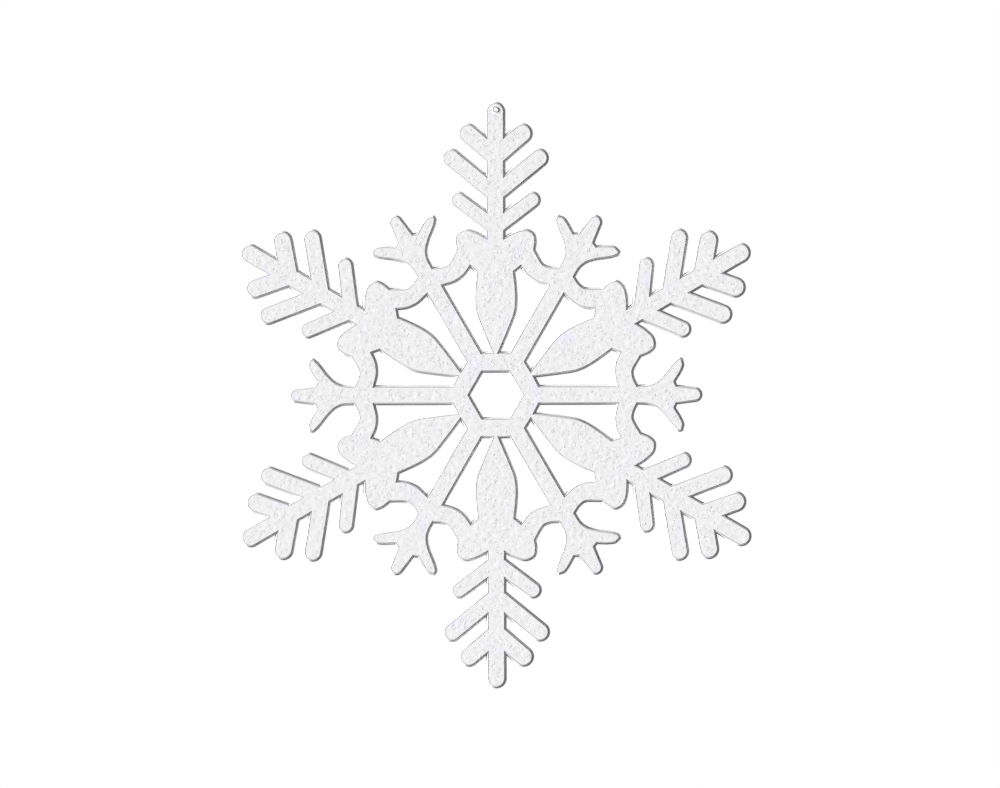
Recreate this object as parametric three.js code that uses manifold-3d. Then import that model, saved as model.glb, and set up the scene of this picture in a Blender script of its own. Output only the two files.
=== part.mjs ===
// A flat, six-fold, die-cut glitter snowflake that hangs from an eyelet in the tip of its top arm.
//
// It is a laminate: a pale pulp board core with sloping cut edges, a white paper glued to each face,
// and a coat of glitter on each paper. One small eyelet is set through all five layers.
//
// Millimetres, +Z up. The flake stands in the XZ plane, its front faces -Y, and the origin is the
// middle of the eyelet's bore. Outlines are drawn in the arm frame: x runs along an arm from the
// middle of the flake, and y runs across it.
import * as THREE from "three";
import { mergeVertices } from "three/addons/utils/BufferGeometryUtils.js";
import Module from "manifold-3d";

const ARMS = 6;
const SECTOR = (2 * Math.PI) / ARMS;

// Layers, from the middle outwards
const CORE_THICKNESS = 2.4;
const PAPER_THICKNESS = 0.2;
const GLITTER_THICKNESS = 0.25;

// The core's cut edge slopes out from each flat face to a narrow rim. The outlines below run on the
// slope, a little outside the flat face.
const EDGE_SLOPE_WIDTH = 1.4;
const EDGE_RIM_THICKNESS = 0.4;
const FACE_INSET = 0.4;

// Arm: a bar with a round tip and three pairs of slanted twigs, listed from the tip inwards. A twig
// runs from its two roots on the bar's edge, outer one first, along tangents to its round cap.
const ARM_LENGTH = 150.1;
const ARM_HALF_WIDTH = 4.4;
const TWIGS = [
  { roots: [132.3, 120.3], capCentre: [134.5, 14.0], capRadius: 4.5 },
  { roots: [112.4, 101.6], capCentre: [121.9, 22.6], capRadius: 4.2 },
  { roots: [94.1, 84.6], capCentre: [100.3, 19.0], capRadius: 3.6 },
];

// Crown: the lobe where an arm leaves the ring, and the ring's outer edge from there to the spoke
const CROWN_LOBE = [
  [80.5, 4.4],
  [83.4, 10.0],
  [84.7, 15.5],
  [82.8, 19.5],
  [79.3, 20.4],
];
const RING_EDGE = [
  [74.5, 19.8],
  [66.8, 24.6],
  [65.3, 28.5],
];

// Spoke: a bar between two arms that ends in an antler with two horns and a prong. Its points are
// distances along and across the spoke.
const SPOKE_HALF_WIDTH = 4.3;
const ANTLER_ROOT = 72.7;
const HORN_OUTER = [
  [78.6, 4.6],
  [82.5, 6.2],
  [86.6, 10.0],
  [90.3, 14.7],
];
const HORN_TIP = [
  [93.7, 18.2],
  [95.6, 18.0],
  [96.2, 15.4],
];
const HORN_INNER = [
  [94.0, 10.4],
  [91.7, 6.8],
  [92.8, 4.3],
];
const PRONG_TIP = 105.5;
const PRONG_TIP_RADIUS = 3.0;

// Slots: one each side of each petal, between the hub, the petal, the ring and the spoke
const SLOT_HUB_CORNER = [21.6, 1.3];
const SLOT_INNER_END = 22.2;
const SLOT_OUTER_END = 62.9;
const SLOT_RING_SIDE = [
  [58.8, 20.8],
  [62.1, 16.3],
  [66.6, 13.0],
];
const SLOT_PETAL_SIDE = [
  [63.5, 9.3],
  [56.5, 10.1],
  [49.0, 10.5],
  [42.6, 9.8],
  [35.5, 7.2],
  [29.0, 4.5],
];

// Hub: its window is a hexagon with a flat side towards each arm
const WINDOW_APOTHEM = 12.3;

// Eyelet: a rolled flange on each face and a barrel that clears its hole
const HOLE_FROM_CENTRE = 146.9;
const EYELET_BORE = 1.6;
const EYELET_BARREL = 2.2;
const EYELET_FLANGE = 3.2;
const FLANGE_THICKNESS = 0.35;
const HOLE_CLEARANCE = 0.3;

const CAP_STEPS = 4;
const TIP_STEPS = 2;
const EYELET_SIDES = 20;

const FACE_DISTANCE = CORE_THICKNESS / 2 + PAPER_THICKNESS + GLITTER_THICKNESS;

const materials = {
  board: { color: 0xcdcdcb, roughness: 0.95, metalness: 0 },
  paper: { color: 0xf1f1ef, roughness: 0.85, metalness: 0 },
  glitter: { color: 0xeeeeef, roughness: 0.35, metalness: 0.2 },
  metal: { color: 0xc9cacc, roughness: 0.3, metalness: 1 },
};

// ---- Outlines ----

const vectors = (points) => points.map(([x, y]) => new THREE.Vector2(x, y));

const turned = (points, angle) =>
  points.map((p) => p.clone().rotateAround(new THREE.Vector2(), angle));

// Points on a circular arc, both ends included
function arc(x, y, radius, start, end, steps) {
  return new THREE.EllipseCurve(x, y, radius, radius, start, end, end < start).getPoints(steps);
}

// One twig's edge, from its outer root, round its cap, to its inner root
function twig({ roots, capCentre, capRadius }) {
  const centre = new THREE.Vector2(...capCentre);
  const [outer, inner] = roots.map((along) => new THREE.Vector2(along, ARM_HALF_WIDTH));
  const tangentAngle = (root, turn) => {
    const towards = root.clone().sub(centre);
    return towards.angle() + turn * Math.acos(capRadius / towards.length());
  };
  const start = tangentAngle(outer, 1) - 2 * Math.PI;
  const end = tangentAngle(inner, -1);
  return [outer, ...arc(...capCentre, capRadius, start, end, CAP_STEPS), inner];
}

// The antler's edge in the spoke frame, on the side towards the arm and from the ring outwards
function antlerEdge() {
  const prongTip = arc(PRONG_TIP - PRONG_TIP_RADIUS, 0, PRONG_TIP_RADIUS, Math.PI / 2, 0, TIP_STEPS);
  return [
    new THREE.Vector2(ANTLER_ROOT, SPOKE_HALF_WIDTH),
    ...vectors([...HORN_OUTER, ...HORN_TIP, ...HORN_INNER]),
    ...prongTip,
  ].map((p) => new THREE.Vector2(p.x, -p.y));
}

// Half an arm's outer edge: from the arm's tip to the tip of the spoke beside it
function halfOutline() {
  return [
    ...arc(ARM_LENGTH - ARM_HALF_WIDTH, 0, ARM_HALF_WIDTH, 0, Math.PI / 2, TIP_STEPS),
    ...TWIGS.flatMap(twig),
    ...vectors([...CROWN_LOBE, ...RING_EDGE]),
    ...turned(antlerEdge(), SECTOR / 2),
  ];
}

// The whole outer edge: each half is mirrored, and the pair is repeated for each arm
function flakeOutline() {
  const half = halfOutline();
  const otherHalf = half
    .slice(1, -1)
    .reverse()
    .map((p) => new THREE.Vector2(p.x, -p.y));
  const sector = [...otherHalf, ...half];
  return Array.from({ length: ARMS }, (_, i) => turned(sector, armAngle(i))).flat();
}

// One slot, on the anticlockwise side of its petal
function slot() {
  const alongSpoke = (distance) =>
    new THREE.Vector2(distance, -SPOKE_HALF_WIDTH).rotateAround(new THREE.Vector2(), SECTOR / 2);
  return [
    alongSpoke(SLOT_INNER_END),
    alongSpoke(SLOT_OUTER_END),
    ...vectors([...SLOT_RING_SIDE, ...SLOT_PETAL_SIDE, SLOT_HUB_CORNER]),
  ];
}

function slots() {
  const left = slot();
  const right = left.map((p) => new THREE.Vector2(p.x, -p.y)).reverse();
  return Array.from({ length: ARMS }, (_, i) => [
    turned(left, armAngle(i)),
    turned(right, armAngle(i)),
  ]).flat();
}

function hubWindow() {
  const corner = new THREE.Vector2(WINDOW_APOTHEM / Math.cos(SECTOR / 2), 0);
  return Array.from({ length: ARMS }, (_, i) => turned([corner], (i + 0.5) * SECTOR + Math.PI / 2)[0]);
}

function armAngle(i) {
  return Math.PI / 2 + i * SECTOR;
}

function flakeShape() {
  const shape = new THREE.Shape(flakeOutline());
  shape.holes = [hubWindow(), ...slots()].map((points) => new THREE.Path(points));
  return shape;
}

// ---- Solids, lying in the XY plane with the front up ----

const wasm = await Module();
wasm.setup();

function solidOf(geometry) {
  const bare = geometry.clone().deleteAttribute("normal").deleteAttribute("uv");
  const merged = mergeVertices(bare, 1e-3);
  return new wasm.Manifold(
    new wasm.Mesh({
      numProp: 3,
      vertProperties: merged.attributes.position.array,
      triVerts: new Uint32Array(merged.index.array),
    }),
  );
}

function geometryOf(solid) {
  const { vertProperties, triVerts } = solid.getMesh();
  const geometry = new THREE.BufferGeometry();
  geometry.setAttribute("position", new THREE.BufferAttribute(vertProperties, 3));
  geometry.setIndex(new THREE.BufferAttribute(triVerts, 1));
  const flat = geometry.toNonIndexed();
  flat.computeVertexNormals();
  return flat;
}

// A layer with the eyelet's hole through it, which leaves the barrel its clearance
function punched(layer) {
  const radius = EYELET_BARREL / 2 + HOLE_CLEARANCE;
  const punch = new THREE.CylinderGeometry(radius, radius, 4 * FACE_DISTANCE, EYELET_SIDES)
    .rotateX(Math.PI / 2)
    .translate(0, HOLE_FROM_CENTRE, 0);
  return geometryOf(solidOf(layer).subtract(solidOf(punch)));
}

function coreBoard(shape) {
  const slopeDepth = (CORE_THICKNESS - EDGE_RIM_THICKNESS) / 2;
  const board = new THREE.ExtrudeGeometry(shape, {
    depth: EDGE_RIM_THICKNESS,
    bevelThickness: slopeDepth,
    bevelSize: EDGE_SLOPE_WIDTH,
    bevelOffset: -FACE_INSET,
    bevelSegments: 1,
  });
  return punched(board.translate(0, 0, -EDGE_RIM_THICKNESS / 2));
}

// A sheet with the outline of the core's flat face, between two distances from the middle
function faceSheet(shape, inner, outer) {
  const sheet = new THREE.ExtrudeGeometry(shape, {
    depth: Math.abs(outer - inner),
    bevelThickness: 0,
    bevelSize: 0,
    bevelOffset: -FACE_INSET,
    bevelSegments: 0,
  });
  return punched(sheet.translate(0, 0, Math.min(inner, outer)));
}

// A barrel with a flange on each face, turned about the bore's axis
function eyelet() {
  const bore = EYELET_BORE / 2;
  const barrel = EYELET_BARREL / 2;
  const flange = EYELET_FLANGE / 2;
  const top = FACE_DISTANCE + FLANGE_THICKNESS;
  const roll = FLANGE_THICKNESS / 2;
  const upperHalf = vectors([
    [barrel, FACE_DISTANCE],
    [flange, FACE_DISTANCE],
    [flange, top - roll],
    [flange - roll, top],
    [bore + roll, top],
    [bore, top - roll],
  ]);
  const lowerHalf = upperHalf.map((p) => new THREE.Vector2(p.x, -p.y)).reverse();
  const profile = [...lowerHalf, ...upperHalf, lowerHalf[0]];
  return new THREE.LatheGeometry(profile, EYELET_SIDES)
    .rotateX(Math.PI / 2)
    .translate(0, HOLE_FROM_CENTRE, 0);
}

// ---- Assembly ----

function addPiece(group, name, geometry, material) {
  const mesh = new THREE.Mesh(geometry, new THREE.MeshStandardMaterial(material));
  mesh.name = name;
  group.add(mesh);
}

function snowflake() {
  const shape = flakeShape();
  const paperFrom = CORE_THICKNESS / 2;
  const paperTo = paperFrom + PAPER_THICKNESS;
  const flake = new THREE.Group();
  addPiece(flake, "core_board", coreBoard(shape), materials.board);
  for (const [side, sign] of [["front", 1], ["back", -1]]) {
    const paper = faceSheet(shape, sign * paperFrom, sign * paperTo);
    const glitter = faceSheet(shape, sign * paperTo, sign * FACE_DISTANCE);
    addPiece(flake, `${side}_face_paper`, paper, materials.paper);
    addPiece(flake, `${side}_glitter_coat`, glitter, materials.glitter);
  }
  addPiece(flake, "hang_eyelet", eyelet(), materials.metal);
  flake.rotation.x = Math.PI / 2;
  flake.position.z = -HOLE_FROM_CENTRE;
  return flake;
}

const root = new THREE.Group();
root.add(snowflake());

export default root;
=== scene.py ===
"""Looks for a flat glitter snowflake that hangs from a small eyelet in its top tip.

The flake is a laminate: a pale pulp board core with sloping die-cut edges, a white paper on each face,
and a coat of glitter on each paper. Each layer here is a closed mesh on one shared outline, and takes the
place of the plain CAD solid of the same layer. Loose plates of glitter lie on each coat.

Outlines are complex numbers in millimetres, in the arm frame: the real axis runs along an arm from the
middle of the flake, and the imaginary axis across it. A depth is a distance from the flake's middle
plane, positive towards the front, which faces -Y.
"""

import cmath
import math

import bpy
import numpy as np
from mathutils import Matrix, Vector, noise
from mathutils.geometry import delaunay_2d_cdt


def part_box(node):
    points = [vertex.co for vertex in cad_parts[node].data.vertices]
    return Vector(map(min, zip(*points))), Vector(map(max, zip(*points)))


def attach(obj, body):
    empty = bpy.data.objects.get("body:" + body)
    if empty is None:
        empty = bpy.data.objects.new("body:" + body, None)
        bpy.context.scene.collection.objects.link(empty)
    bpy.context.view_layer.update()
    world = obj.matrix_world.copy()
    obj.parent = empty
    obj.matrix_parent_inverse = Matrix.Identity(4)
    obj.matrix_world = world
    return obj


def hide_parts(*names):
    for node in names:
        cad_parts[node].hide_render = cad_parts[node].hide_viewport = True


MM = 0.001
ARMS = 6
SECTOR = math.tau / ARMS
FRONT, BACK = 1, -1

# Arm: a bar with a round tip and three pairs of twigs, listed from the tip inwards. A twig runs from its
# two roots on the bar's edge, outer one first, along tangents to its round cap.
ARM_LENGTH = 150.1
ARM_HALF_WIDTH = 4.4
TWIGS = [
    {"roots": (132.3, 120.3), "cap_centre": 134.5 + 14.0j, "cap_radius": 4.5},
    {"roots": (112.4, 101.6), "cap_centre": 121.9 + 22.6j, "cap_radius": 4.2},
    {"roots": (94.1, 84.6), "cap_centre": 100.3 + 19.0j, "cap_radius": 3.6},
]

# Crown: the lobe where an arm leaves the ring, and the ring's outer edge from there to the spoke
CROWN_LOBE = [80.5 + 4.4j, 83.4 + 10.0j, 84.7 + 15.5j, 82.8 + 19.5j, 79.3 + 20.4j, 74.5 + 19.8j]
RING_EDGE = [74.5 + 19.8j, 66.8 + 24.6j, 65.3 + 28.5j]

# Spoke: a bar between two arms that ends in an antler. Its points are distances along and across it.
SPOKE_HALF_WIDTH = 4.3
ANTLER_ROOT = 72.7
HORN = [
    78.6 + 4.6j, 82.5 + 6.2j, 86.6 + 10.0j, 90.3 + 14.7j,
    93.7 + 18.2j, 95.6 + 18.0j, 96.2 + 15.4j,
    94.0 + 10.4j, 91.7 + 6.8j, 92.8 + 4.3j,
]
PRONG_TIP = 105.5
PRONG_TIP_RADIUS = 3.0

# Slots: one each side of each petal, between the hub, the petal, the ring and the spoke
SLOT_HUB_CORNER = 21.6 + 1.3j
SLOT_INNER_END = 22.2
SLOT_OUTER_END = 62.9
SLOT_RING_SIDE = [58.8 + 20.8j, 62.1 + 16.3j, 66.6 + 13.0j]
SLOT_PETAL_SIDE = [
    63.5 + 9.3j, 56.5 + 10.1j, 49.0 + 10.5j, 42.6 + 9.8j, 35.5 + 7.2j, 29.0 + 4.5j, SLOT_HUB_CORNER,
]

# Hub: its window is a hexagon with a flat side towards each arm
WINDOW_APOTHEM = 12.3

# How finely the outline is divided. Points within the clearance of a corner sharper than the turn are
# left out.
EDGE_STEP = 1.1
CURVE_STEP = 1.0
ARC_STEP = math.radians(12)
SHARP_TURN = math.radians(20)
CORNER_CLEARANCE = 2.6

# Cut edge: a narrow groove round the flat face, a crest that the die pushed up, then a slope that
# flattens out towards the rim. Offsets are distances outside the outline. The slope's rings are shares of
# the way from the crest to the rim, and its start is how steep it is at the crest, where 1 is even.
FACE_OFFSET = -0.4
CREST_OFFSET = 0.03
RIM_OFFSET = 0.9
CREST_DROP = 0.14
GROOVE_DEPTH = 0.11
GROOVE_WALL = 0.005
SLOPE_RINGS = (1, 0.75, 0.45, 0.2, 0)
SLOPE_START = 1.25
RIM_HALF = 0.2

# Fibres that roughen the cut edge: noise cells in a millimetre, each with its share of the depth
FIBRE_DEPTH = 0.012
FIBRE_NOISE = ((1.3, 1.0), (3.7, 0.6))
FIBRE_NOISE_STRETCH = 2

# Papers: a little narrower at their two faces than halfway. The gap keeps each layer just clear of the
# one under it.
PAPER_UNDER_INSET = 0.02
PAPER_TOP_INSET = 0.03
LAYER_GAP = 0.004

# Glitter coat: its top is a jittered grid of points, raised in clumps and by single grains
COAT_INSET = 0.02
COAT_CHAMFER = 0.02
COAT_STEP = 1.05
GRID_JITTER = 0.3
CLUMP_SIZE = 2.6
CLUMP_HEIGHT = 0.036
SMALL_CLUMP_SCALE = 2.3
SMALL_CLUMP_SHARE = 0.45
SMALL_CLUMP_SHIFT = Vector((31, 17, 5))
PRESSED_WIDTH = 2.0
GRAIN_HEIGHT = 0.0145
SHADING_ANGLE = math.radians(20)

# Glitter plates, scattered at random: the trials are enough to find a place on the flake for each one
PLATE_COUNT = 3500
TRIALS_PER_PLATE = 8
PLATE_SIDES = 6
PLATE_RADIUS = (0.5, 0.95)
PLATE_THICKNESS = 0.03
PLATE_TILT = math.radians(1.4)

# Eyelet, and the hole for it through the layers. Its shares are of the flange's radius.
HOLE_RADIUS = 1.4
HOLE_SIDES = 28
BORE_SHARE = 0.5
BARREL_SHARE = 0.6875
EYELET_SIDES = 64
ROLL_STEPS = 14

# Camera and light, in metres. The key's side is measured round from the right, and its height is out of
# the flake's plane.
CAMERA_DISTANCE = 3.0
VIEW_WIDTH = 0.5146
SENSOR_WIDTH = 36.0
AIM_RIGHT = 0.00217
AIM_UP = 0.00053
CAMERA_ROLL = math.radians(0.14)
KEY_SIDE = math.radians(168)
KEY_HEIGHT = math.radians(14)
KEY_STRENGTH = 10.4
KEY_SOFTNESS = math.radians(8)
AMBIENT = 0.24
FLOOR_DROP = 0.3
FLOOR_SIZE = 3.0

# Materials: ramp stops for cells, whose random values are spread evenly from 0 to 1
CELL_STOPS = (0.1, 0.9)

SEED = 20261116
rng = np.random.default_rng(SEED)

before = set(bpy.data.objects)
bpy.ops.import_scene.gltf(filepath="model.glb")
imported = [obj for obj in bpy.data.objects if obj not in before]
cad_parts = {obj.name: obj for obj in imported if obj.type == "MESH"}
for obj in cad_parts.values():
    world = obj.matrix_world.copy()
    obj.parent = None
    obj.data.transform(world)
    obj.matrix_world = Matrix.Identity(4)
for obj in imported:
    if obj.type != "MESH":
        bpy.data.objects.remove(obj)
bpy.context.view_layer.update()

core_low, core_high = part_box("core_board")
centre = (core_low + core_high) / 2
core_half = (core_high.y - core_low.y) / 2 / MM
paper_top = -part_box("front_face_paper")[0].y / MM
coat_top = -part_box("front_glitter_coat")[0].y / MM
eyelet_low, eyelet_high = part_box("hang_eyelet")
eyelet_top = -eyelet_low.y / MM
flange_radius = (eyelet_high.x - eyelet_low.x) / 2 / MM
hole_from_centre = -centre.z / MM


# ---- Outline ----

def turn(angle):
    """The factor that turns a point anticlockwise by an angle."""
    return cmath.exp(1j * angle)


def unit(vector):
    return vector / abs(vector)


def arc(middle, radius, start, end):
    """Points on a circular arc, both ends included."""
    steps = max(2, math.ceil(abs(end - start) / ARC_STEP))
    return [middle + radius * turn(start + (end - start) * i / steps) for i in range(steps + 1)]


def smooth(points):
    """A centripetal Catmull-Rom curve through the points."""
    ends = [2 * points[0] - points[1], *points, 2 * points[-1] - points[-2]]
    curve = []
    for a, b, c, d in zip(ends, ends[1:], ends[2:], ends[3:]):
        ta, tb = 0.0, abs(b - a) ** 0.5
        tc = tb + abs(c - b) ** 0.5
        td = tc + abs(d - c) ** 0.5
        steps = max(1, round(abs(c - b) / CURVE_STEP))
        for i in range(steps):
            t = tb + (tc - tb) * i / steps
            ab = a + (b - a) * (t - ta) / (tb - ta)
            bc = b + (c - b) * (t - tb) / (tc - tb)
            cd = c + (d - c) * (t - tc) / (td - tc)
            abc = ab + (bc - ab) * (t - ta) / (tc - ta)
            bcd = bc + (cd - bc) * (t - tb) / (td - tb)
            curve.append(abc + (bcd - abc) * (t - tb) / (tc - tb))
    return [*curve, points[-1]]


def twig(roots, cap_centre, cap_radius):
    """One twig's edge, from its outer root, round its cap, to its inner root."""
    outer, inner = (complex(along, ARM_HALF_WIDTH) for along in roots)

    def tangent_angle(root, side):
        towards = root - cap_centre
        return cmath.phase(towards) % math.tau + side * math.acos(cap_radius / abs(towards))

    start = tangent_angle(outer, 1) - math.tau
    end = tangent_angle(inner, -1)
    return [outer, *arc(cap_centre, cap_radius, start, end), inner]


def antler_edge():
    """The antler's edge on the side towards the arm, from the ring outwards, in the arm frame."""
    prong = arc(PRONG_TIP - PRONG_TIP_RADIUS, PRONG_TIP_RADIUS, math.pi / 2, 0)
    edge = [*smooth([complex(ANTLER_ROOT, SPOKE_HALF_WIDTH), *HORN]), *prong]
    return [p.conjugate() * turn(SECTOR / 2) for p in edge]


def half_outline():
    """Half an arm's outer edge, from the arm's tip to the tip of the spoke beside it."""
    tip = arc(ARM_LENGTH - ARM_HALF_WIDTH, ARM_HALF_WIDTH, 0, math.pi / 2)
    twigs = [p for t in TWIGS for p in twig(**t)]
    return [*tip, *twigs, *smooth(CROWN_LOBE), *smooth(RING_EDGE)[1:], *antler_edge()]


def slot():
    """One slot, on the anticlockwise side of its petal."""
    inner, outer = (
        complex(along, -SPOKE_HALF_WIDTH) * turn(SECTOR / 2) for along in (SLOT_INNER_END, SLOT_OUTER_END)
    )
    return [inner, *smooth([outer, *SLOT_RING_SIDE]), *smooth(SLOT_PETAL_SIDE)]


def window():
    """The hub's window, with its corners halfway between the arms."""
    corner = WINDOW_APOTHEM / math.cos(SECTOR / 2)
    return [corner * turn((i + 0.5) * SECTOR + math.pi / 2) for i in range(ARMS)]


def area(loop):
    """The loop's area, which is negative where it runs clockwise."""
    return sum((p.conjugate() * q).imag for p, q in zip(loop, loop[1:] + loop[:1])) / 2


def round_the_flake(loop):
    """A copy of the loop for each arm, from the top arm on."""
    return [[p * turn(math.pi / 2 + i * SECTOR) for p in loop] for i in range(ARMS)]


def clear_corners(loop):
    """Drops the points that crowd a sharp corner, so that the loop can be offset without folding over."""
    count = len(loop)
    turns = [
        abs(cmath.phase((loop[(i + 1) % count] - loop[i]) / (loop[i] - loop[i - 1])))
        for i in range(count)
    ]
    corners = [loop[i] for i in range(count) if turns[i] > SHARP_TURN]

    def crowded(i):
        return turns[i] <= SHARP_TURN and any(abs(loop[i] - c) < CORNER_CLEARANCE for c in corners)

    return [p for i, p in enumerate(loop) if not crowded(i)]


def outline_loops():
    """The outer edge, the hub's window and the slots, each with the material on its left."""
    half = half_outline()
    sector = [p.conjugate() for p in half[-2:0:-1]] + half
    outer = [p for copy in round_the_flake(sector) for p in copy]
    left = slot()
    right = [p.conjugate() for p in left]
    holes = [window(), *round_the_flake(left), *round_the_flake(right)]
    clockwise = [loop if area(loop) < 0 else loop[::-1] for loop in holes]
    return [clear_corners(loop) for loop in [outer, *clockwise]]


def offset(loop, distance):
    """The loop moved out of the material by a distance, with mitred corners."""
    moved = []
    for before, here, after in zip(loop[-1:] + loop[:-1], loop, loop[1:] + loop[:1]):
        a, b = (-1j * unit(side) for side in (here - before, after - here))
        moved.append(here + distance * (a + b) / (1 + (a.conjugate() * b).real))
    return moved


def subdivided(loop, counts):
    """The loop with each of its edges divided into that edge's count of parts."""
    return [
        p + (q - p) * i / count
        for p, q, count in zip(loop, loop[1:] + loop[:1], counts)
        for i in range(count)
    ]


LOOPS = outline_loops()
COUNTS = [
    [math.ceil(abs(q - p) / EDGE_STEP) for p, q in zip(loop, loop[1:] + loop[:1])] for loop in LOOPS
]
HOLE = [
    1j * hole_from_centre + HOLE_RADIUS * turn(-math.tau * i / HOLE_SIDES) for i in range(HOLE_SIDES)
]


def ring(distance):
    """Every loop of the outline at one offset, with the eyelet's hole, as one array of points."""
    loops = [subdivided(offset(loop, distance), counts) for loop, counts in zip(LOOPS, COUNTS)]
    return np.array([p for loop in [*loops, HOLE] for p in loop])


def next_in_ring():
    """For each point of a ring, the index of the next point on its loop."""
    following, first = [], 0
    for length in [*(sum(counts) for counts in COUNTS), HOLE_SIDES]:
        following += [first + (i + 1) % length for i in range(length)]
        first += length
    return np.array(following)


NEXT = next_in_ring()
RING_SIZE = len(NEXT)


def inside(points, loops):
    """Which points are on the material, by counting the edges that a ray from each point crosses."""
    batch = 4000
    start = np.array([p for loop in loops for p in loop])
    end = np.array([p for loop in loops for p in loop[1:] + loop[:1]])
    result = np.zeros(len(points), bool)
    for first in range(0, len(points), batch):
        p = points[first:first + batch, None]
        spans = (start.imag > p.imag) != (end.imag > p.imag)
        rise = np.where(start.imag == end.imag, 1.0, end.imag - start.imag)
        crossing = start.real + (p.imag - start.imag) * (end.real - start.real) / rise
        result[first:first + batch] = (spans & (p.real < crossing)).sum(axis=1) % 2 == 1
    return result


def triangulated(outline, extra):
    """Triangles over the outline's material. The outline's points come first, then the extra ones."""
    triangles_over_hull, tolerance = 0, 1e-7
    points = np.concatenate([outline, extra])
    flat = [Vector((p.real, p.imag)) for p in points]
    edges = [(i, int(NEXT[i])) for i in range(RING_SIZE)]
    _, _, faces, sources, _, _ = delaunay_2d_cdt(flat, edges, [], triangles_over_hull, tolerance, True)
    index = [source[0] for source in sources]
    triangles = np.array([[index[i] for i in face] for face in faces])
    loops = np.split(outline, np.flatnonzero(NEXT < np.arange(RING_SIZE)) + 1)[:-1]
    middles = points[triangles].mean(axis=1)
    return triangles[inside(middles, [list(loop) for loop in loops])]


# ---- Meshes ----

def placed(points, depths):
    """Outline points and depths as places in the row frame."""
    depths = np.broadcast_to(depths, points.shape)
    return np.stack(
        [centre.x + points.real * MM, centre.y - depths * MM, centre.z + points.imag * MM], axis=1
    )


def make_piece(name, vertices, faces, material, replaced=None, shade_smooth=False):
    """A mesh object on the flake's one body, in place of a CAD node where one is named."""
    mesh = bpy.data.meshes.new(name)
    mesh.from_pydata(vertices.tolist(), [], faces)
    mesh.polygons.foreach_set("use_smooth", [shade_smooth] * len(mesh.polygons))
    mesh.update()
    piece = bpy.data.objects.new(name, mesh)
    bpy.context.scene.collection.objects.link(piece)
    mesh.materials.append(material)
    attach(piece, "root")
    if replaced:
        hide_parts(replaced)
    return piece


def walls(ring_count):
    """Quads between each ring and the next."""
    here = np.arange(RING_SIZE)
    quads = []
    for k in range(ring_count - 1):
        low = k * RING_SIZE
        high = low + RING_SIZE
        quads.append(np.stack([low + here, low + NEXT, high + NEXT, high + here], axis=1))
    return np.concatenate(quads)


def layer(profile, side):
    """A closed layer between two flat caps. Its profile is given for the front, from the lower cap up."""
    rings = [ring(distance) for distance, _ in profile]
    depths = np.repeat([depth for _, depth in profile], RING_SIZE)
    points = np.concatenate(rings)
    last = (len(profile) - 1) * RING_SIZE
    faces = [*CAP[:, ::-1].tolist(), *walls(len(profile)).tolist(), *(CAP + last).tolist()]
    return points, depths * side, oriented(faces, side)


def oriented(faces, side):
    """The faces as they are for the front, and turned over for the mirrored back."""
    return faces if side == FRONT else [face[::-1] for face in faces]


def board_profile():
    """The core's cut edge from its back face to its front face."""
    crest_depth = coat_top - CREST_DROP
    floor_depth = crest_depth - GROOVE_DEPTH
    front = []
    for share in SLOPE_RINGS:
        fall = SLOPE_START * share + (1 - SLOPE_START) * share ** 2
        distance = CREST_OFFSET + (RIM_OFFSET - CREST_OFFSET) * share
        front.append((distance, crest_depth - (crest_depth - RIM_HALF) * fall))
    front += [(CREST_OFFSET - GROOVE_WALL, floor_depth), (FACE_OFFSET + GROOVE_WALL, floor_depth)]
    front += [(FACE_OFFSET + GROOVE_WALL, core_half), (FACE_OFFSET, core_half)]
    return [(distance, -depth) for distance, depth in front[::-1]] + front


def board_piece():
    """The core. Fibres roughen its cut edge, but not its two faces or the eyelet's hole."""
    profile = board_profile()
    points, depths, faces = layer(profile, FRONT)
    cut = np.ones(len(points), bool)
    cut[:RING_SIZE] = False
    cut[-RING_SIZE:] = False
    cut[np.tile(np.arange(RING_SIZE) >= RING_SIZE - HOLE_SIDES, len(profile))] = False
    for i in np.flatnonzero(cut):
        place = Vector((points[i].real, points[i].imag, depths[i] * FIBRE_NOISE_STRETCH))
        depths[i] += FIBRE_DEPTH * sum(share * noise.noise(place * cells) for cells, share in FIBRE_NOISE)
    make_piece("board", placed(points, depths), faces, pulp_board(), "core_board")


def paper_piece(side, name):
    """A face paper, whose edge swells halfway through its thickness."""
    profile = [
        (FACE_OFFSET - PAPER_UNDER_INSET, core_half + LAYER_GAP),
        (FACE_OFFSET, (core_half + paper_top) / 2),
        (FACE_OFFSET - PAPER_TOP_INSET, paper_top),
    ]
    points, depths, faces = layer(profile, side)
    make_piece(
        f"{name}_paper", placed(points, depths), faces, MATERIALS["paper"],
        f"{name}_face_paper",
    )


def coat_height(points):
    """The coat's surface: clumps and small clumps of grains, pressed flat round the eyelet."""
    heights = np.empty(len(points))
    for i, p in enumerate(points):
        place = Vector((p.real, p.imag, 0)) / CLUMP_SIZE
        small = noise.noise(place * SMALL_CLUMP_SCALE + SMALL_CLUMP_SHIFT)
        heights[i] = noise.noise(place) + SMALL_CLUMP_SHARE * small
    pressed = np.clip((abs(points - 1j * hole_from_centre) - flange_radius) / PRESSED_WIDTH, 0, 1)
    return coat_top - CLUMP_HEIGHT * (1 - heights * pressed)


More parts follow.
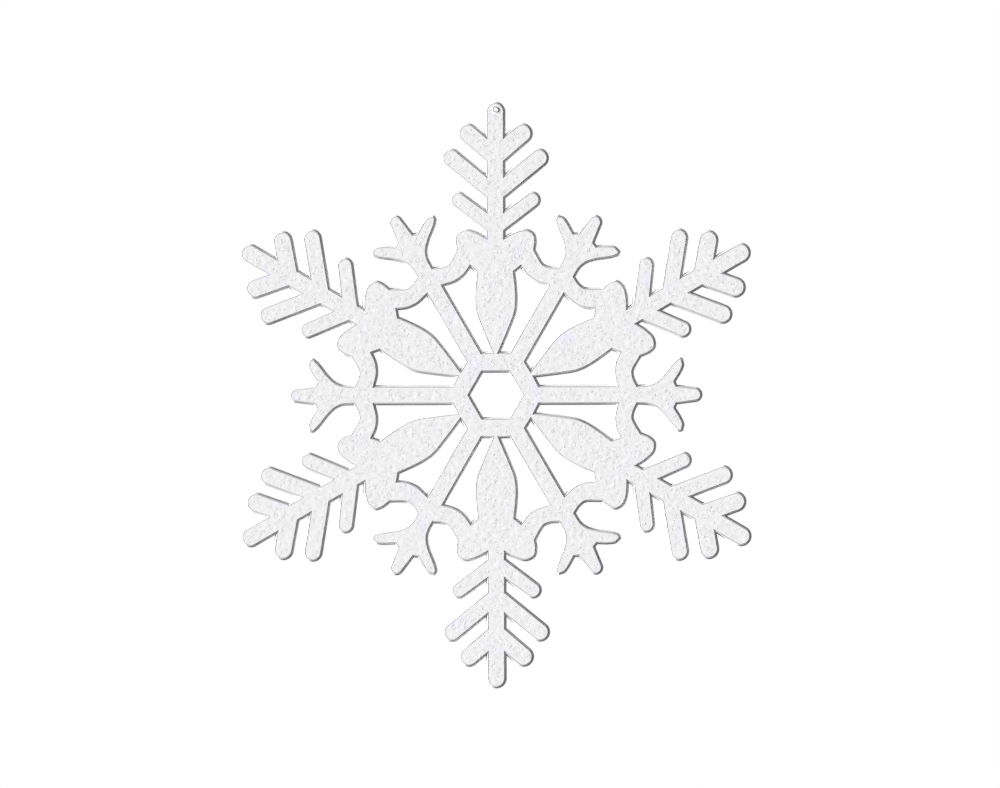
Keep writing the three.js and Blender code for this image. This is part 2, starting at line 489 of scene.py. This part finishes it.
def grid_points():
    """A jittered triangular grid over the face, clear of its edges."""
    rows = np.arange(-ARM_LENGTH, ARM_LENGTH, COAT_STEP * math.sqrt(0.75))
    columns = np.arange(-ARM_LENGTH, ARM_LENGTH, COAT_STEP)
    shift = np.where(np.arange(len(rows)) % 2, COAT_STEP / 2, 0.0)
    grid = (columns[None, :] + shift[:, None] + 1j * rows[:, None]).ravel()
    jitter = rng.uniform(-GRID_JITTER, GRID_JITTER, (2, len(grid))) * COAT_STEP
    grid = grid + jitter[0] + 1j * jitter[1]
    clear = FACE_OFFSET - COAT_CHAMFER - COAT_STEP / 2
    kept = inside(grid, [offset(loop, clear) for loop in LOOPS])
    near_hole = abs(grid - 1j * hole_from_centre) < HOLE_RADIUS + COAT_STEP / 2
    return grid[kept & ~near_hole]


def coat_piece(side, name):
    """The glitter coat: a flat underside, a crisp bare edge of binder darkened as painted shade, and a
    grainy top.
    """
    edge = FACE_OFFSET - COAT_INSET
    face = coat_top - CLUMP_HEIGHT
    profile = [(edge, paper_top + LAYER_GAP), (edge, face - COAT_CHAMFER), (edge - COAT_CHAMFER, face)]
    rings = [ring(distance) for distance, _ in profile]
    grid = grid_points()
    grains = rng.normal(0, GRAIN_HEIGHT, len(grid))
    points = np.concatenate([*rings, grid])
    edge_depths = np.repeat([depth for _, depth in profile], RING_SIZE)
    depths = np.concatenate([edge_depths, coat_height(grid) + grains])
    cut = walls(len(profile))
    top = triangulated(rings[-1], grid) + (len(profile) - 1) * RING_SIZE
    faces = oriented([*CAP[:, ::-1].tolist(), *cut.tolist(), *top.tolist()], side)
    piece = make_piece(
        f"{name}_glitter", placed(points, depths * side), faces, MATERIALS["glitter"],
        f"{name}_glitter_coat",
    )
    finish_coat(piece.data, len(CAP), len(cut), len(top))


def finish_coat(mesh, underside, cut, top):
    """Bare binder, darkened as painted shade, on the cut edge and smooth shading on the top, given how
    many faces each part has.
    """
    mesh.materials.append(MATERIALS["cut"])
    mesh.polygons.foreach_set("material_index", [0] * underside + [1] * cut + [0] * top)
    mesh.polygons.foreach_set("use_smooth", [False] * (underside + cut) + [True] * top)
    mesh.set_sharp_from_angle(angle=SHADING_ANGLE)


def plates_piece(side, name):
    """Loose-lying hexagonal glitter plates, each a closed prism half sunk in the coat."""
    edge = [offset(loop, FACE_OFFSET - PLATE_RADIUS[1]) for loop in LOOPS]
    trials = rng.uniform(-ARM_LENGTH, ARM_LENGTH, (2, PLATE_COUNT * TRIALS_PER_PLATE))
    trials = trials[0] + 1j * trials[1]
    middles = trials[inside(trials, edge)]
    clear_of_eyelet = abs(middles - 1j * hole_from_centre) > flange_radius + PLATE_RADIUS[1]
    middles = middles[clear_of_eyelet][:PLATE_COUNT]
    count = len(middles)
    radius = rng.uniform(*PLATE_RADIUS, count)
    spin = rng.uniform(0, math.tau, count)
    tilt = rng.normal(0, PLATE_TILT, (2, count))
    corner_angles = spin[:, None] + np.arange(PLATE_SIDES) * math.tau / PLATE_SIDES
    corners = np.exp(1j * corner_angles) * radius[:, None]
    lift = corners.real * tilt[0][:, None] + corners.imag * tilt[1][:, None]
    surface = coat_height(middles)[:, None] + lift
    points = np.concatenate([middles[:, None] + corners] * 2, axis=1)
    depths = np.concatenate([surface - PLATE_THICKNESS / 2, surface + PLATE_THICKNESS / 2], axis=1)
    lower = list(range(PLATE_SIDES))
    upper = [i + PLATE_SIDES for i in lower]
    prism = [lower[::-1], upper]
    prism += [[lower[i - 1], lower[i], upper[i], upper[i - 1]] for i in lower]
    faces = [[2 * PLATE_SIDES * k + i for i in face] for k in range(count) for face in prism]
    make_piece(
        f"{name}_plates", placed(points.ravel(), depths.ravel() * side), oriented(faces, side),
        MATERIALS["plates"],
    )


def eyelet_piece():
    """A thin barrel that is rolled over into a rounded flange on each face."""
    bore, barrel = flange_radius * BORE_SHARE, flange_radius * BARREL_SHARE
    roll_middle, roll_half = (flange_radius + bore) / 2, (flange_radius - bore) / 2
    height = eyelet_top - coat_top
    front = [
        (roll_middle + roll_half * math.cos(a), coat_top + height * math.sin(a))
        for a in (math.pi * i / ROLL_STEPS for i in range(ROLL_STEPS + 1))
    ]
    back = [(radius, -depth) for radius, depth in front[::-1]]
    profile = [(barrel, coat_top), *front, *back, (barrel, -coat_top)]
    around = np.exp(1j * np.arange(EYELET_SIDES) * math.tau / EYELET_SIDES)
    points = np.concatenate([radius * around for radius, _ in profile]) + 1j * hole_from_centre
    depths = np.repeat([depth for _, depth in profile], EYELET_SIDES)
    rows = len(profile)
    faces = [
        [
            k * EYELET_SIDES + i,
            k * EYELET_SIDES + (i + 1) % EYELET_SIDES,
            (k + 1) % rows * EYELET_SIDES + (i + 1) % EYELET_SIDES,
            (k + 1) % rows * EYELET_SIDES + i,
        ]
        for k in range(rows)
        for i in range(EYELET_SIDES)
    ]
    make_piece(
        "eyelet", placed(points, depths), faces, eyelet_metal(), "hang_eyelet",
        shade_smooth=True,
    )


# ---- Materials ----

class Nodes:
    """A material's node tree, with short calls to add and join nodes."""

    def __init__(self, name, **settings):
        self.material = bpy.data.materials.new(name)
        self.material.use_nodes = True
        self.tree = self.material.node_tree
        self.shader = self.tree.nodes["Principled BSDF"]
        self.place = self.add("ShaderNodeTexCoord").outputs["Object"]
        for socket, value in settings.items():
            self.shader.inputs[socket.replace("_", " ")].default_value = value

    def add(self, kind, **settings):
        node = self.tree.nodes.new(kind)
        for key, value in settings.items():
            setattr(node, key, value)
        return node

    def join(self, output, socket):
        """Links a node's output to another node's socket."""
        self.tree.links.new(output, socket)

    def scaled(self, factors):
        """The place on the piece, with each axis scaled."""
        node = self.add("ShaderNodeMapping")
        node.inputs["Scale"].default_value = factors
        self.join(self.place, node.inputs["Vector"])
        return node.outputs["Vector"]

    def noise(self, size, detail=3.0, stretch=(1, 1, 1)):
        """Noise with features of about this size in metres."""
        node = self.add("ShaderNodeTexNoise")
        node.inputs["Scale"].default_value = 1 / size
        node.inputs["Detail"].default_value = detail
        self.join(self.scaled(stretch), node.inputs["Vector"])
        return node.outputs["Fac"]

    def cells(self, size):
        """One random value for each cell of about this size in metres."""
        node = self.add("ShaderNodeTexVoronoi")
        node.inputs["Scale"].default_value = 1 / size
        self.join(self.place, node.inputs["Vector"])
        return node.outputs["Color"]

    def ramp(self, value, low, high, stops=(0.35, 0.65)):
        """A colour, or a grey level, that goes from low to high as the value crosses the stops."""
        node = self.add("ShaderNodeValToRGB")
        for element, stop, level in zip(node.color_ramp.elements, stops, (low, high)):
            element.position = stop
            element.color = (*level, 1) if isinstance(level, tuple) else (level, level, level, 1)
        self.join(value, node.inputs["Fac"])
        return node.outputs["Color"]

    def mix(self, factor, a, b):
        """Colour a where the factor is 0, and b where it is 1. The colour sockets are known by number."""
        node = self.add("ShaderNodeMix", data_type="RGBA")
        colour_a, colour_b, colour_result = node.inputs[6], node.inputs[7], node.outputs[2]
        self.join(factor, node.inputs["Factor"])
        self.join(a, colour_a)
        self.join(b, colour_b)
        return colour_result

    def bump(self, height, distance, strength=0.5):
        """Bump from a height between 0 and 1 that stands for this distance in metres."""
        node = self.add("ShaderNodeBump")
        node.inputs["Strength"].default_value = strength
        node.inputs["Distance"].default_value = distance
        self.join(height, node.inputs["Height"])
        self.join(node.outputs["Normal"], self.shader.inputs["Normal"])

    def colour(self, output):
        self.join(output, self.shader.inputs["Base Color"])

    def roughness(self, output):
        self.join(output, self.shader.inputs["Roughness"])


def pulp_board():
    """Pale pulp board: mottled, with long fibres where the die cut its edge."""
    nodes = Nodes("pulp_board", Specular_IOR_Level=0.15)
    pulp = nodes.ramp(nodes.noise(0.0011), (0.57, 0.57, 0.575), (0.65, 0.65, 0.65))
    fibres = nodes.ramp(nodes.noise(0.0004, stretch=(1, 3.5, 1)), (0.55, 0.55, 0.555), (0.66, 0.66, 0.66))
    nodes.colour(nodes.mix(nodes.ramp(nodes.noise(0.003), 0.0, 1.0), pulp, fibres))
    nodes.roughness(nodes.ramp(nodes.noise(0.0008), 0.85, 0.98))
    nodes.bump(nodes.noise(0.00035, 5.0, stretch=(1, 2.5, 1)), 0.00003)
    return nodes.material


def face_paper():
    """White coated paper with a faint fibre."""
    nodes = Nodes("face_paper", Specular_IOR_Level=0.3)
    nodes.colour(nodes.ramp(nodes.noise(0.0009), (0.84, 0.84, 0.845), (0.9, 0.9, 0.9)))
    nodes.roughness(nodes.ramp(nodes.noise(0.0005), 0.6, 0.75))
    nodes.bump(nodes.noise(0.0003, 5.0), 0.00002)
    return nodes.material


def glitter():
    """White glitter set in clear glue, with small patches that glint faintly lavender."""
    nodes = Nodes("glitter_coat", Specular_IOR_Level=0.4)
    white = nodes.ramp(nodes.cells(0.0007), 0.8, 0.88, CELL_STOPS)
    lavender = nodes.ramp(nodes.cells(0.0006), (0.8, 0.78, 0.89), (0.86, 0.84, 0.96), CELL_STOPS)
    patches = nodes.ramp(nodes.noise(0.016, 1.0), 0.0, 0.75, (0.6, 0.72))
    nodes.colour(nodes.mix(patches, white, lavender))
    nodes.roughness(nodes.ramp(nodes.cells(0.0005), 0.45, 0.7, CELL_STOPS))
    nodes.bump(nodes.cells(0.00045), 0.00002, 0.3)
    return nodes.material


def binder_and_painted_shade():
    """The coat's cut edge: grey binder that holds no glitter, painted darker still as shade, so that
    little light bounces off it into the groove beside the face and the line there reads dark.
    """
    nodes = Nodes("binder_and_painted_shade", Specular_IOR_Level=0.2)
    # The dark grey is partly the binder's own colour and partly painted shade for the line along the
    # face's edge.
    nodes.colour(nodes.ramp(nodes.noise(0.0007), (0.19, 0.19, 0.195), (0.27, 0.27, 0.275)))
    nodes.roughness(nodes.ramp(nodes.noise(0.0005), 0.6, 0.8))
    return nodes.material


def glitter_plates():
    """The plates themselves, a little glossier than the glue that they lie in."""
    nodes = Nodes("glitter_plates", Metallic=0.15, Specular_IOR_Level=0.5)
    nodes.colour(nodes.ramp(nodes.cells(0.0009), 0.8, 0.92, CELL_STOPS))
    nodes.roughness(nodes.ramp(nodes.cells(0.0008), 0.35, 0.55, CELL_STOPS))
    return nodes.material


def eyelet_metal():
    """Bright aluminium, brushed round by the setting tool."""
    nodes = Nodes("eyelet_metal", Metallic=1.0)
    nodes.colour(nodes.ramp(nodes.noise(0.0006), (0.84, 0.84, 0.85), (0.93, 0.93, 0.93)))
    nodes.roughness(nodes.ramp(nodes.noise(0.0003), 0.25, 0.42))
    nodes.bump(nodes.noise(0.00015, stretch=(1, 0.3, 1)), 0.00001, 0.4)
    return nodes.material


# ---- Stage, light and camera ----

def make_floor():
    """A plain pale floor below the hanging flake. No diffuse light bounces up from it."""
    middle = (centre.x, centre.y, core_low.z - FLOOR_DROP)
    bpy.ops.mesh.primitive_plane_add(size=FLOOR_SIZE, location=middle)
    floor = bpy.context.object
    floor.name = "floor"
    material = Nodes("floor", Base_Color=(0.86, 0.86, 0.86, 1), Roughness=0.9).material
    floor.data.materials.append(material)
    floor.visible_diffuse = False


def make_key(name, facing):
    """A soft key from the left that grazes one face of the flake."""
    light = bpy.data.lights.new(name, "SUN")
    light.energy = KEY_STRENGTH
    light.angle = KEY_SOFTNESS
    key = bpy.data.objects.new(name, light)
    bpy.context.scene.collection.objects.link(key)
    sideways = turn(KEY_SIDE) * math.cos(KEY_HEIGHT)
    towards = Vector((sideways.real, facing * math.sin(KEY_HEIGHT), sideways.imag))
    key.location = centre + towards
    key.rotation_mode = "QUATERNION"
    key.rotation_quaternion = towards.to_track_quat("Z", "Y")


def make_world():
    """Even ambient light, in front of a white background."""
    world = bpy.data.worlds.new("studio")
    bpy.context.scene.world = world
    world.use_nodes = True
    tree = world.node_tree
    ambient = tree.nodes["Background"]
    ambient.inputs["Color"].default_value = (1, 1, 1, 1)
    ambient.inputs["Strength"].default_value = AMBIENT
    white = tree.nodes.new("ShaderNodeBackground")
    white.inputs["Color"].default_value = (1, 1, 1, 1)
    mix = tree.nodes.new("ShaderNodeMixShader")
    path = tree.nodes.new("ShaderNodeLightPath")
    tree.links.new(path.outputs["Is Camera Ray"], mix.inputs["Fac"])
    tree.links.new(ambient.outputs["Background"], mix.inputs[1])
    tree.links.new(white.outputs["Background"], mix.inputs[2])
    tree.links.new(mix.outputs["Shader"], tree.nodes["World Output"].inputs["Surface"])


def make_camera():
    """A long lens square on to the front face."""
    camera = bpy.data.objects.new("camera", bpy.data.cameras.new("camera"))
    bpy.context.scene.collection.objects.link(camera)
    camera.data.sensor_width = SENSOR_WIDTH
    camera.data.lens = SENSOR_WIDTH * CAMERA_DISTANCE / VIEW_WIDTH
    camera.location = centre + Vector((AIM_RIGHT, -CAMERA_DISTANCE, AIM_UP))
    camera.rotation_euler = (math.pi / 2, CAMERA_ROLL, 0)
    bpy.context.scene.camera = camera


make_camera()
make_world()
make_key("front_key", -1)
make_key("back_key", 1)
make_floor()
bpy.context.scene.view_settings.view_transform = "Standard"

CAP = triangulated(ring(FACE_OFFSET), np.array([], complex))
MATERIALS = {
    "paper": face_paper(),
    "glitter": glitter(),
    "cut": binder_and_painted_shade(),
    "plates": glitter_plates(),
}
board_piece()
eyelet_piece()
for face_side, face_name in ((FRONT, "front"), (BACK, "back")):
    paper_piece(face_side, face_name)
    coat_piece(face_side, face_name)
    plates_piece(face_side, face_name)
